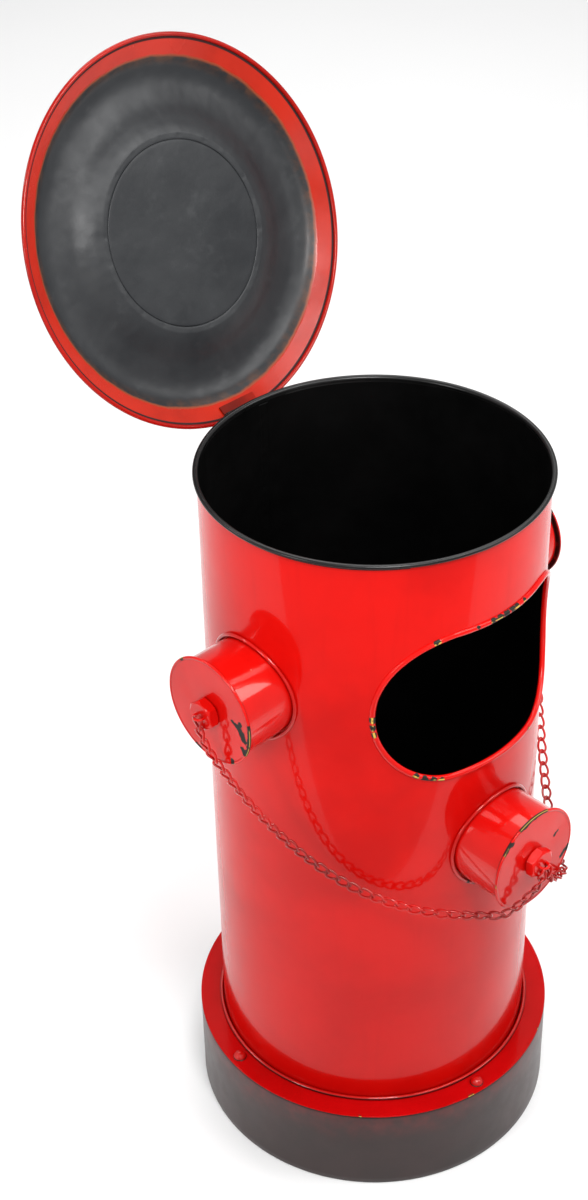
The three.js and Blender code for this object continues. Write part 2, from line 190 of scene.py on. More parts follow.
def arc(x, y, radius, start, stop, steps):
    """Points of an arc in a profile, angles in degrees."""
    angles = np.radians(np.linspace(start, stop, steps + 1))
    return np.stack([x + radius * np.cos(angles), y + radius * np.sin(angles)], 1).tolist()


def circle(radius, height):
    """Points round a level circle."""
    angles = np.arange(LOOP_STEPS) * TAU / LOOP_STEPS
    return np.stack([radius * np.cos(angles), radius * np.sin(angles), np.full(LOOP_STEPS, height)], 1)


def dense(points, step):
    """A polyline with points no further apart than step."""
    out = [points[0]]
    for a, b in zip(points, points[1:]):
        n = max(1, math.ceil(math.dist(a, b) / step))
        out += [[a[k] + (b[k] - a[k]) * i / n for k in range(len(a))] for i in range(1, n + 1)]
    return out


def sweep(line, radius, sides, closed):
    """A round tube along a line, with frames carried along it so that it doesn't twist."""
    line = np.asarray(line, float)
    count = len(line)
    if closed:
        tangents = np.roll(line, -1, 0) - np.roll(line, 1, 0)
    else:
        tangents = np.gradient(line, axis=0)
    tangents /= np.linalg.norm(tangents, axis=1)[:, None]
    normals = np.zeros_like(line)
    first = np.cross(tangents[0], [0.13, 0.31, 0.94])
    normals[0] = first / np.linalg.norm(first)
    for i in range(1, count):
        n = normals[i - 1] - tangents[i] * (normals[i - 1] @ tangents[i])
        normals[i] = n / np.linalg.norm(n)
    binormals = np.cross(tangents, normals)
    turn = np.zeros(count)
    if closed:
        n = normals[-1] - tangents[0] * (normals[-1] @ tangents[0])
        off = math.atan2(n @ binormals[0], n @ normals[0])
        turn = -off * np.arange(count) / count
    angles = np.arange(sides) * TAU / sides
    a = angles[None] + turn[:, None]
    radii = np.broadcast_to(np.asarray(radius, float), (count,))
    rings = line[:, None] + radii[:, None, None] * (
        np.cos(a)[..., None] * normals[:, None] + np.sin(a)[..., None] * binormals[:, None]
    )
    faces = grid(count, sides, wrap_rows=closed, wrap_columns=True).tolist()
    if not closed:
        faces += [list(range(sides))[::-1], [(count - 1) * sides + k for k in range(sides)]]
    return rings.reshape(-1, 3), faces


def spots(verts, places):
    """A smooth field that is 1 at each place and falls to 0 at its reach. A place is (point, reach)."""
    field = np.zeros(len(verts))
    for point, reach in places:
        distance = np.linalg.norm(verts - np.asarray(point, float), axis=1)
        field = np.maximum(field, 1 - distance / reach)
    return field.clip(0, 1)


def waves(verts, size, seed=0.0):
    """Smooth noise at each point, about -0.5 to 0.5, with features of that size in millimetres."""
    return np.array([noise.noise(Vector(v) / size + Vector((seed, -seed, 2 * seed))) for v in verts])


# ---------- materials


class Shader:
    """A few short ways to build one Principled material's nodes."""

    def __init__(self, name, **constants):
        self.material = bpy.data.materials.new(name)
        self.material.use_nodes = True
        self.tree = self.material.node_tree
        self.tree.nodes.clear()
        self.out = self.tree.nodes.new("ShaderNodeOutputMaterial")
        self.main = self.tree.nodes.new("ShaderNodeBsdfPrincipled")
        self.join(self.main.outputs[0], self.out.inputs[0])
        for socket, value in constants.items():
            self.main.inputs[socket.replace("_", " ")].default_value = value
        self.place = self.tree.nodes.new("ShaderNodeTexCoord").outputs["Object"]

    def join(self, source, target):
        self.tree.links.new(source, target)

    def feed(self, socket, value):
        """A constant or another node's output into a socket."""
        if isinstance(value, bpy.types.NodeSocket):
            self.join(value, socket)
        else:
            socket.default_value = value

    def noise(self, scale, detail=3.0, rough=0.5, stretch=None, seed=0.0):
        n = self.tree.nodes.new("ShaderNodeTexNoise")
        n.inputs["Scale"].default_value = scale
        n.inputs["Detail"].default_value = detail
        n.inputs["Roughness"].default_value = rough
        mapping = self.tree.nodes.new("ShaderNodeMapping")
        mapping.inputs["Scale"].default_value = stretch or (1, 1, 1)
        mapping.inputs["Location"].default_value = (seed, seed * 0.7, -seed)
        self.join(self.place, mapping.inputs["Vector"])
        self.join(mapping.outputs[0], n.inputs["Vector"])
        return n.outputs["Fac"]

    def cells(self, scale):
        n = self.tree.nodes.new("ShaderNodeTexVoronoi")
        n.inputs["Scale"].default_value = scale
        self.join(self.place, n.inputs["Vector"])
        return n.outputs["Distance"], n.outputs["Color"]

    def math(self, operation, a, b=0.0, c=0.0, clamp=False):
        n = self.tree.nodes.new("ShaderNodeMath")
        n.operation, n.use_clamp = operation, clamp
        for socket, value in zip(n.inputs, (a, b, c)):
            self.feed(socket, value)
        return n.outputs[0]

    def step(self, value, low, high, first=0.0, last=1.0):
        """value mapped smoothly from low..high to first..last."""
        n = self.tree.nodes.new("ShaderNodeMapRange")
        n.interpolation_type = "SMOOTHSTEP"
        for socket, v in zip(n.inputs, (value, low, high, first, last)):
            self.feed(socket, v)
        return n.outputs[0]

    def mix(self, share, a, b):
        n = self.tree.nodes.new("ShaderNodeMix")
        n.data_type = "RGBA"
        self.feed(n.inputs["Factor"], share)
        for socket, colour in ((n.inputs[6], a), (n.inputs[7], b)):
            self.feed(socket, colour if isinstance(colour, bpy.types.NodeSocket) else (*colour, 1))
        return n.outputs[2]

    def attribute(self, name):
        n = self.tree.nodes.new("ShaderNodeAttribute")
        n.attribute_name = name
        return n.outputs["Fac"]

    def axis(self, index):
        n = self.tree.nodes.new("ShaderNodeSeparateXYZ")
        self.join(self.place, n.inputs[0])
        return n.outputs[index]

    def bump(self, height, distance, strength=1.0, below=None):
        n = self.tree.nodes.new("ShaderNodeBump")
        n.inputs["Strength"].default_value = strength
        n.inputs["Distance"].default_value = distance
        self.join(height, n.inputs["Height"])
        if below is not None:
            self.join(below, n.inputs["Normal"])
        return n.outputs[0]

    def finish(self, colour=None, roughness=None, normal=None):
        for socket, value in (("Base Color", colour), ("Roughness", roughness), ("Normal", normal)):
            if value is not None:
                self.join(value, self.main.inputs[socket])
        if normal is not None:
            self.join(normal, self.main.inputs["Coat Normal"])
        return self.material


UNDERCOAT = (0.020, 0.025, 0.022)
UNDERCOAT_DARK = (0.012, 0.013, 0.012)
OCHRE = (0.62, 0.40, 0.07)  # the primer that shows along a chip's crest
DUST = (0.75, 0.42, 0.30)
PAINTED_SHADE_DARK = (0.022, 0.001, 0.001)  # painted shade: dark red laid in corners, gaps and under lips, where "line" is high


def red_enamel(
    name,
    bright=(0.63, 0.0035, 0.002),
    deep=(0.50, 0.0022, 0.0015),
    wave=0.0,
    nicks=0.0,
    dust=0.5,
    gloss=1.0,
    sheen=1.0,
    low=0.0,
):
    """Glossy red paint with clouded colour between bright and deep, fine orange peel and dust specks. It is
    chipped to the undercoat where "chip" is high and worn along "edge"; where "line" is high it is painted
    dark as painted shade in corners, gaps and under lips. wave is the height in mm of slow ripples, nicks the
    share of the edge that is worn, gloss the strength of the sharp top reflection and sheen that of the soft
    one under it. low darkens the paint towards the foot, as painted shade for the light falling off down the
    tube."""
    s = Shader(name, Coat_Roughness=0.05, Coat_IOR=1.5, Specular_IOR_Level=0.34 * sheen)
    s.main.inputs["Specular Tint"].default_value = (1.0, 0.86, 0.66, 1)
    cloud = s.noise(9, 4, 0.55, seed=3)
    colour = s.mix(s.step(cloud, 0.35, 0.68), bright, deep)
    streak = s.noise(30, 4, 0.6, stretch=(3, 3, 0.25), seed=9)
    colour = s.mix(s.step(streak, 0.5, 0.8, 0.0, 0.35), colour, deep)
    # painted shade: with low set, the colour darkens towards the foot in place of the light's fall-off
    if low:
        colour = s.mix(s.step(s.axis(2), 0.08, 0.55, low, 0.0), colour, tuple(0.62 * c for c in deep))
    distance, which = s.cells(55)
    rare = s.math("GREATER_THAN", which, 0.80)
    speck = s.math("MULTIPLY", s.step(distance, 0.050, 0.030), s.math("MULTIPLY", rare, dust))
    colour = s.mix(speck, colour, DUST)
    edge, chip = s.attribute("edge"), s.attribute("chip")
    ragged = s.noise(260, 5, 0.62, seed=1)
    worn = s.math("ADD", chip, s.math("MULTIPLY_ADD", ragged, 0.9, -0.45))
    chipped = s.step(worn, 0.40, 0.46)
    if nicks:
        nick = s.math("MULTIPLY", edge, s.step(s.noise(70, 4, 0.6, seed=5), 0.70 - nicks, 0.74 - nicks))
        chipped = s.math("MAXIMUM", chipped, nick)
    colour = s.mix(chipped, colour, s.mix(s.noise(500, 2), UNDERCOAT, UNDERCOAT_DARK))
    coat = min(1.0, 0.5 * gloss)
    s.join(s.math("MULTIPLY_ADD", chipped, -0.9 * coat, coat), s.main.inputs["Coat Weight"])
    crest = s.math("MULTIPLY", s.step(edge, 0.86, 0.93), s.step(s.noise(120, 3, seed=8), 0.42, 0.5))
    colour = s.mix(s.math("MULTIPLY", crest, chipped), colour, OCHRE)
    uneven = s.step(s.noise(90, 4, 0.6, seed=14), 0.25, 0.5, 0.75, 1.0)
    # painted shade: dark colour where "line" is high, in corners, gaps and under lips
    line = s.math("MULTIPLY", s.attribute("line"), uneven)
    colour = s.mix(line, colour, PAINTED_SHADE_DARK)
    rough = s.step(s.noise(45, 5, 0.6, seed=4), 0.3, 0.75, 0.17, 0.26)
    rough = s.math("MULTIPLY_ADD", line, 0.3, rough)
    rough = s.math("MULTIPLY_ADD", chipped, 0.25, rough)
    peel = s.bump(s.noise(700, 2, 0.5), 0.00004, 0.15)
    if wave:
        peel = s.bump(s.noise(16, 2, 0.4, stretch=(1, 1, 0.5)), wave * MM, 1.0, peel)
    skin = s.bump(s.math("SUBTRACT", 1.0, chipped), 0.00025, 0.8, peel)
    return s.finish(colour, rough, skin)


RED = red_enamel("red_enamel", gloss=1.2, sheen=0.6)
# low=0.4 gives the tube painted shade towards its foot
RED_TUBE = red_enamel("red_enamel_tube", wave=0.12, gloss=0.62, sheen=0.2, low=0.4)
RED_EDGE = red_enamel("red_enamel_edges", nicks=0.04, gloss=0.9, sheen=0.3)
RED_TRIM = red_enamel(
    "red_enamel_trim", (0.52, 0.003, 0.002), (0.38, 0.002, 0.0015), gloss=1.3, sheen=0.4
)
RED_ROLL = red_enamel(
    "red_enamel_roll", (0.36, 0.006, 0.003), (0.26, 0.003, 0.002), nicks=0.03, gloss=0.5, sheen=0.5
)
RED_FLANGE = red_enamel(
    "red_enamel_flange", (0.48, 0.002, 0.003), (0.38, 0.002, 0.002), nicks=0.08, gloss=0.07, sheen=0.05
)
RED_CHAIN = red_enamel(
    "red_enamel_chain", (0.50, 0.003, 0.002), (0.20, 0.0015, 0.0015), dust=0.0, gloss=1.7, sheen=0.4
)


def black_enamel(name, tone, rough_low, rough_high, coat):
    """Black paint with a faint grain, dust and uneven gloss."""
    s = Shader(name, Coat_Weight=coat, Coat_Roughness=0.15, Specular_IOR_Level=0.06 if coat == 0 else 0.3)
    cloud = s.noise(14, 5, 0.6, seed=2)
    colour = s.mix(s.step(cloud, 0.35, 0.7), (tone,) * 3, (tone * 1.9, tone * 1.8, tone * 1.8))
    distance, which = s.cells(70)
    speck = s.math("MULTIPLY", s.step(distance, 0.03, 0.018), s.math("GREATER_THAN", which, 0.86))
    colour = s.mix(speck, colour, (0.12, 0.12, 0.12))
    rough = s.step(s.noise(60, 4, 0.6, seed=6), 0.3, 0.7, rough_low, rough_high)
    grain = s.bump(s.noise(600, 2), 0.00005, 0.5)
    normal = s.bump(s.noise(22, 3, 0.5, stretch=(1, 1, 0.6)), 0.0004, 0.6, grain)
    return s.finish(colour, rough, normal)


BLACK_INSIDE = black_enamel("black_enamel_inside", 0.0012, 0.42, 0.55, 0.0)
BLACK_RIM = black_enamel("black_enamel_rim", 0.003, 0.26, 0.36, 0.08)


def plinth_enamel():
    """Brown-black paint with red overspray that fades down from the flange, and a painted shadow band just
    under the flange.
    """
    s = Shader("plinth_enamel", Coat_Weight=0.15, Coat_Roughness=0.18, Specular_IOR_Level=0.3)
    cloud = s.noise(11, 5, 0.6, seed=12)
    colour = s.mix(s.step(cloud, 0.3, 0.7), (0.030, 0.013, 0.012), (0.017, 0.008, 0.007))
    height = s.math("ADD", s.axis(2), s.math("MULTIPLY_ADD", s.noise(35, 4, 0.6), 0.03, -0.015))
    spray = s.math("MULTIPLY", s.step(height, 0.050, 0.088), s.step(s.noise(90, 3), 0.3, 0.75, 0.08, 0.3))
    colour = s.mix(spray, colour, (0.24, 0.012, 0.010))
    # painted shadow: a near-black band at the top of the plinth band, under the flange's edge
    line = s.step(s.axis(2), 0.0838, 0.0848)
    colour = s.mix(line, colour, (0.006, 0.004, 0.004))
    rough = s.step(s.noise(50, 4, 0.6), 0.3, 0.7, 0.39, 0.45)
    normal = s.bump(s.noise(14, 2, 0.4), 0.00005, 0.7, s.bump(s.noise(650, 2), 0.00005, 0.5))
    return s.finish(colour, rough, normal)


PLINTH_PAINT = plinth_enamel()


def charcoal_nodes(s):
    """Colour, roughness and height of satin charcoal paint on beaten sheet."""
    cloud = s.noise(16, 5, 0.6, seed=21)
    colour = s.mix(s.step(cloud, 0.3, 0.7), (0.014, 0.0152, 0.0172), (0.023, 0.0245, 0.0265))
    rub = s.step(s.noise(45, 5, 0.65, seed=23), 0.55, 0.8, 0.0, 0.5)
    colour = s.mix(rub, colour, (0.045, 0.047, 0.049))
    rough = s.step(s.noise(30, 4, 0.6, seed=22), 0.3, 0.75, 0.36, 0.47)
    beaten = s.noise(55, 3, 0.5, seed=24)
    return colour, rough, beaten


def charcoal_enamel():
    s = Shader("charcoal_enamel", Specular_IOR_Level=0.25)
    colour, rough, beaten = charcoal_nodes(s)
    normal = s.bump(beaten, 0.0006, 0.7, s.bump(s.noise(600, 2), 0.00005, 0.6))
    return s.finish(colour, rough, normal)


PAINT_EDGE = 138.7  # radius on the lid where the flange's red begins
GROOVE_EDGE = 149.5  # and where the groove inside its bead begins; its dark paint is painted shade


def lid_enamel():
    """Charcoal inside the shoulder ring, red outside it, with a rusty ochre fade between them, and the groove
    inside the bead painted dark as painted shade.
    """
    s = Shader("lid_enamel", Specular_IOR_Level=0.33)
    colour, rough, beaten = charcoal_nodes(s)
    ring = s.math("ADD", s.attribute("ring"), s.math("MULTIPLY_ADD", s.noise(60, 5, 0.6), 3.0, -1.5))
    cloud = s.noise(20, 4, 0.6, seed=31)
    red = s.mix(s.step(cloud, 0.3, 0.8), (0.42, 0.014, 0.003), (0.31, 0.010, 0.002))
    # painted shade: the groove inside the lid's bead is painted near black
    red = s.mix(s.step(s.attribute("ring"), GROOVE_EDGE, GROOVE_EDGE + 0.6), red, (0.020, 0.001, 0.001))
    patchy = s.step(s.noise(90, 4, 0.7, seed=33), 0.35, 0.7)
    fade = s.math("MULTIPLY", s.step(ring, PAINT_EDGE - 9.2, PAINT_EDGE - 1.2), patchy)
    colour = s.mix(s.math("MULTIPLY", fade, 0.4), colour, (0.15, 0.055, 0.02))
    rust = s.step(ring, PAINT_EDGE - 2.1, PAINT_EDGE - 0.5)
    colour = s.mix(rust, colour, (0.22, 0.045, 0.015))
    painted = s.step(ring, PAINT_EDGE - 0.9, PAINT_EDGE + 0.9)
    colour = s.mix(painted, colour, red)
    back = s.attribute("back")
    colour = s.mix(back, colour, red)
    is_red = s.math("MAXIMUM", painted, back)
    rough = s.math("MULTIPLY_ADD", is_red, -0.18, rough)
    groove = s.step(s.attribute("ring"), GROOVE_EDGE + 0.1, GROOVE_EDGE + 0.7)
    rough = s.math("MULTIPLY_ADD", groove, 0.5, rough)
    height = s.math("MULTIPLY", beaten, s.math("SUBTRACT", 1.0, is_red))
    normal = s.bump(height, 0.0003, 0.7, s.bump(s.noise(600, 2), 0.00005, 0.6))
    return s.finish(colour, rough, normal)


def hinge_steel():
    """Dark paint over steel, with red splashes."""
    s = Shader("hinge_steel", Metallic=0.2)
    colour = s.mix(s.step(s.noise(120, 4, 0.6), 0.4, 0.7), (0.012, 0.006, 0.005), (0.03, 0.02, 0.018))
    colour = s.mix(s.step(s.noise(230, 4, 0.7, seed=4), 0.63, 0.68), colour, (0.55, 0.015, 0.008))
    rough = s.step(s.noise(200, 3), 0.3, 0.7, 0.3, 0.55)
    return s.finish(colour, rough, s.bump(s.noise(500, 3), 0.0001, 0.6))


CHARCOAL = charcoal_enamel()
LID_PAINT = lid_enamel()
HINGE_PAINT = hinge_steel()
HINGE_RED = red_enamel(
    "hinge_red", (0.34, 0.010, 0.003), (0.10, 0.004, 0.002), dust=0.0, gloss=0.5, sheen=0.5
)

# ---------- chains

# The left chain's middle line in millimetres, from the left staple to the front one, as in the CAD.
CHAIN_ROUTE = [
    (-191.8, -0.6, 506.4), (-191.2, -3.4, 494), (-187.6, -9.8, 477.3), (-181.4, -16.8, 460),
    (-173.9, -24.8, 441), (-165.2, -34.5, 420.5), (-155.2, -45.7, 400.4), (-141.9, -60.6, 377.4),
    (-128.5, -75.5, 358.8), (-115.2, -90.4, 344), (-101.9, -105.3, 332.8), (-88.5, -120.2, 324.9),
    (-75.2, -135.2, 320.1), (-61.9, -150.1, 318.4), (-49, -165.4, 319.4), (-40, -177.5, 321.6),
    (-33.8, -183.2, 323.8), (-19.5, -187.2, 330.6), (-8, -189.6, 337.6), (-3.7, -191.4, 346.5),
    (-3.4, -191.8, 354.4),
]
LINK_WIRE = 1.05  # radius of the wire
LINK_HALF = 6.5  # half a link's length, to the wire's middle
LINK_SIDE = 3.3  # half a link's width, to the wire's middle
LINK_TWIST = math.radians(42)
LINK_WANDER = math.radians(7)  # how far the links turn at random from the run's own roll
LINK_PITCH = 2 * (LINK_HALF - LINK_WIRE)


def smooth_line(points, step):
    """Points a step apart along a Catmull-Rom curve through the given points."""
    p = np.asarray(points, float)
    p = np.vstack([2 * p[0] - p[1], p, 2 * p[-1] - p[-2]])
    t = np.linspace(0, 1, 24, endpoint=False)[:, None]
    parts = []
    for a, b, c, d in zip(p, p[1:], p[2:], p[3:]):
        square, cube = 2 * a - 5 * b + 4 * c - d, 3 * b - a - 3 * c + d
        parts.append(0.5 * (2 * b + (c - a) * t + square * t**2 + cube * t**3))
    line = np.vstack([*parts, p[-2]])
    along = np.concatenate([[0], np.cumsum(np.linalg.norm(np.diff(line, axis=0), axis=1))])
    at = np.linspace(0, along[-1], max(2, round(along[-1] / step) + 1))
    return np.stack([np.interp(at, along, line[:, k]) for k in range(3)], 1)


def link_shape():
    """One twisted link along X, lying flat in XY at its middle."""
    t = np.arange(36) * TAU / 36
    x = LINK_HALF * np.sign(np.cos(t)) * np.abs(np.cos(t)) ** 0.85
    y = LINK_SIDE * np.sign(np.sin(t)) * np.abs(np.sin(t)) ** 0.8
    turn = LINK_TWIST * x / LINK_HALF
    return sweep(np.stack([x, y * np.cos(turn), y * np.sin(turn)], 1), LINK_WIRE, 8, True)


def add_chain(name, node, side, roll):
    """A run of identical twisted links along the route. roll, in degrees, turns them about it: at 0 their
    flat side faces away from the tube."""
    route = np.array(CHAIN_ROUTE) * (side, 1, 1)
    top = route[0] + (0, 0, 4.2)
    line = smooth_line([top, *route[1:-1], route[-1] + (0, 0, 1.5)], 1.0)
    along = np.arange(len(line)) * np.linalg.norm(line[1] - line[0])
    count = round(along[-1] / LINK_PITCH)
    ends = np.linspace(0, along[-1], count + 1)
    joints = np.stack([np.interp(ends, along, line[:, k]) for k in range(3)], 1)
    shape, faces = link_shape()
    verts, quads = [], []
    rolls = RNG.normal(math.radians(roll), LINK_WANDER, count)
    for i in range(count):
        a, b = joints[i], joints[i + 1]
        forward = (b - a) / np.linalg.norm(b - a)
        middle = (a + b) / 2
        outward = np.array([middle[0], middle[1], 0.0])
        outward -= forward * (outward @ forward)
        outward /= np.linalg.norm(outward)
        across = np.cross(outward, forward)
        c, s = math.cos(rolls[i]), math.sin(rolls[i])
        flat, up = c * across + s * outward, c * outward - s * across
        verts.append(middle + shape @ np.stack([forward, flat, up]))
        quads += [[i * len(shape) + k for k in f] for f in faces]
    piece = add_piece(
        name, np.vstack(verts), quads, "bin_body", RED_CHAIN, stands_for=[node], sharp=0
    )


add_chain("chain_left_links", "chain_left", 1, 0)
add_chain("chain_right_links", "chain_right", -1, 78)

# ---------- tube with its mouth

COLUMNS = 240
COLUMN = TAU * TUBE / COLUMNS  # width of one column round the tube
MOUTH_COLUMNS = 37  # columns each side of the front that the mouth's own grid takes
MOUTH_ROWS = 46
MOUTH_GRID_HALF = 82.0  # half the height of the mouth's own grid


def on_tube(across, height, radius):
    """Points at an arc length round the tube from its front, and a height."""
    bearing = np.asarray(across) / TUBE
    height = np.broadcast_to(height, bearing.shape)
    return np.stack([radius * np.sin(bearing), -radius * np.cos(bearing), height], -1)


def mouth_point(point, end_radius):
    """The point of the mouth's outline that a point round it faces."""
    core = np.array([min(max(point[0], -MOUTH_FLAT), MOUTH_FLAT), MOUTH_HEIGHT])
    away = np.asarray(point) - core
    return core + away / np.linalg.norm(away) * end_radius


def add_tube():
    """The tube's sheet, with a finer grid round the mouth that ends on the mouth's outline."""
    low = node_box("body_tube")[0].z
    high = RIM_TOP - 4.6
    band = np.linspace(MOUTH_HEIGHT - MOUTH_GRID_HALF, MOUTH_HEIGHT + MOUTH_GRID_HALF, MOUTH_ROWS + 1)
    rows = np.concatenate([np.linspace(low, band[0], 12)[:-1], band, np.linspace(band[-1], high, 5)[1:]])
    columns = (np.arange(COLUMNS) - COLUMNS // 2) * COLUMN
    flat = [np.array([x, z]) for z in rows for x in columns]
    first_row, last_row = 11, 11 + MOUTH_ROWS
    left, right = COLUMNS // 2 - MOUTH_COLUMNS, COLUMNS // 2 + MOUTH_COLUMNS
    quads = []
    for i in range(len(rows) - 1):
        for j in range(COLUMNS):
            if not (first_row <= i < last_row and left <= j < right):
                k, this, above = (j + 1) % COLUMNS, i * COLUMNS, (i + 1) * COLUMNS
                quads.append([this + j, this + k, above + k, above + j])
    # the mouth's own grid: rings that pass from the rectangle to the mouth's outline
    border = [first_row * COLUMNS + j for j in range(left, right)]
    border += [i * COLUMNS + right for i in range(first_row, last_row)]
    border += [last_row * COLUMNS + j for j in range(right, left, -1)]
    border += [i * COLUMNS + left for i in range(last_row, first_row, -1)]
    ring = border
    steps = 8
    for t in range(1, steps + 1):
        start = len(flat)
        share = 1 - (1 - t / steps) ** 1.3
        for index in border:
            p = flat[index]
            flat.append(p + (mouth_point(p, MOUTH_END + 0.4) - p) * share)
        inner = list(range(start, len(flat)))
        n = len(ring)
        quads += [[ring[k], ring[(k + 1) % n], inner[(k + 1) % n], inner[k]] for k in range(n)]
        ring = inner
    flat = np.array(flat)
    outer = on_tube(flat[:, 0], flat[:, 1], TUBE)
    inner = on_tube(flat[:, 0], flat[:, 1], TUBE - WALL)
    # sheet steel is never quite true: a millimetre or less of slow unevenness
    sway = waves(outer, 120, 2.0)[:, None] * 0.5
    around = outer * (1, 1, 0) / TUBE
    outer, inner = outer + around * sway, inner + around * sway
    count = len(flat)
    faces = [*quads, *[[count + k for k in q[::-1]] for q in quads]]
    top = [(len(rows) - 1) * COLUMNS + j for j in range(COLUMNS)]
    for edge, flip in ((list(range(COLUMNS)), True), (top, False), (ring, False)):
        for k in range(len(edge)):
            a, b = edge[k], edge[(k + 1) % len(edge)]
            faces.append([a, b, count + b, count + a] if flip else [b, a, count + a, count + b])
    piece = add_piece(
        "tube", np.vstack([outer, inner]), faces, "bin_body", [RED_TUBE, BLACK_INSIDE],
        stands_for=["body_tube"], sharp=50,
    )
    inside = np.ones(len(piece.data.polygons), np.int32)
    inside[: len(quads)] = 0
    piece.data.polygons.foreach_set("material_index", inside)
    specks = [(on_tube(np.array(x), z, TUBE), 1.6) for x, z in ((-142, 451), (-139, 557), (60, 300))]
    paint(piece, "chip", spots(np.vstack([outer, inner]), specks))


add_tube()


SEAM_BEARING = 175.7  # degrees round the tube from its front
DENT_PITCH = 9.5


def add_seam(name, radius, half_width, lift, material, bottom, top):
    """A welded lap seam: a low strip up the tube with a run of small weld dents."""
    across = np.linspace(-1, 1, 13)
    heights = np.arange(bottom, top + 0.1, 1.6)
    bearing = math.radians(SEAM_BEARING)
    direction = 1 if lift > 0 else -1
    profile = np.clip((1 - np.abs(across)) / 0.25, 0, 1) ** 0.7
    verts = []
    for z in heights:
        dent = 0.35 * math.exp(-(((z % DENT_PITCH) - 4.7) / 1.6) ** 2)
        for x, p in zip(across, profile):
            wobble = 0.25 * noise.noise(Vector((x, z / 25, 3.0)))
            rise = lift * p - direction * dent * math.exp(-((x - 0.35) / 0.3) ** 2)
            angle = bearing + (x * half_width + wobble) / radius
            r = radius + rise - direction * 0.25
            verts.append((r * math.sin(angle), -r * math.cos(angle), z))
    front = np.array(verts)
    back = front - front * (1, 1, 0) / np.linalg.norm(front * (1, 1, 0), axis=1)[:, None] * direction * 0.5
    n, m = len(heights), len(across)
    faces = grid(n, m).tolist() + [f[::-1] for f in grid(n, m, start=n * m).tolist()]
    rim = [*range(m), *[i * m + m - 1 for i in range(1, n)], *range(n * m - 2, (n - 1) * m - 1, -1)]
    rim += [i * m for i in range(n - 2, 0, -1)]
    for k in range(len(rim)):
        a, b = rim[k], rim[(k + 1) % len(rim)]
        faces.append([b, a, n * m + a, n * m + b])
    add_piece(name, np.vstack([front, back]), faces, "bin_body", material, sharp=0)


add_seam("seam_inside", TUBE - WALL, 5.0, -0.75, BLACK_INSIDE, 6, RIM_TOP - 5.2)
add_seam("seam_outside", TUBE, 2.0, 0.35, RED, FLANGE_TOP + 4, RIM_TOP - 48)


def add_rim():
    """The tube's top edge, rolled outwards into a thin lip."""
    inner, centre = TUBE - WALL, RIM_OUT - 1.6
    middle = RIM_TOP - 1.6
    profile = [
        (inner, RIM_TOP - 5.2),
        (inner, RIM_TOP - 3.2),
        *arc(centre - 0.4, middle - 0.9, 2.5 + 0.05, 172, 95, 7),
        *arc(centre, middle, 1.6, 80, -110, 12),
        (TUBE + 0.05, RIM_TOP - 3.5),
        (TUBE + 0.05, RIM_TOP - 5.2),
    ]
    verts, faces = revolve(profile, ROUND_STEPS)
    add_piece(
        "rim_lip", verts, faces[:, ::-1], "bin_body", BLACK_RIM,
        stands_for=["rim_bead"], sharp=60,
    )


add_rim()


def mouth_line(end_radius, steps):
    """The mouth's outline as (run round the tube, height), evenly spaced from its top middle. The left
    half is the right half turned round."""
    half = []
    for run in np.arange(steps // 2) / steps * 2 * (math.pi * end_radius + 2 * MOUTH_FLAT):
        turn = min(max((run - MOUTH_FLAT) / end_radius, 0), math.pi)
        straight = run - turn * end_radius
        across = MOUTH_FLAT - abs(straight - MOUTH_FLAT)
        half.append((across + end_radius * math.sin(turn), end_radius * math.cos(turn)))
    return np.vstack([half, -np.array(half)])


# where the mouth's bead is chipped: (run round the tube from the front, height above its middle, reach)
MOUTH_CHIPS = [
    (-110, -1, 6), (-110, -8, 5), (-109.5, -15, 5), (-77, -59, 5), (-70, -63, 5.5), (-63, -66, 5.5),
    (-56, -67.5, 5), (-62, 66.5, 5), (-14, 69, 5), (-7, 69, 5.5), (0, 69, 5.5), (7, 69, 5), (12, 69, 5),
    (22, 69, 3.5), (-28, 69, 3), (104, -38, 5), (100, -44, 4.5), (88, 57, 3.5), (40, -69, 4),
]


def add_mouth():
    flat = mouth_line(MOUTH_END, LOOP_STEPS)
    line = on_tube(flat[:, 0], flat[:, 1] + MOUTH_HEIGHT, TUBE)
    swell = 1 + 0.05 * waves(line, 14, 4.0)
    verts, faces = sweep(line, MOUTH_BEAD * swell, 16, True)
    piece = add_piece(
        "mouth_roll", verts, faces, "bin_body", RED_EDGE, stands_for=["mouth_bead"], sharp=0
    )
    radial = np.linalg.norm(verts[:, :2], axis=1)
    paint(piece, "edge", np.clip((radial - TUBE) / MOUTH_BEAD, 0, 1) ** 1.6)
    places = [(on_tube(np.array(x), z + MOUTH_HEIGHT, TUBE + 1.5), reach) for x, z, reach in MOUTH_CHIPS]
    paint(piece, "chip", spots(verts, places))


add_mouth()

# ---------- outlets

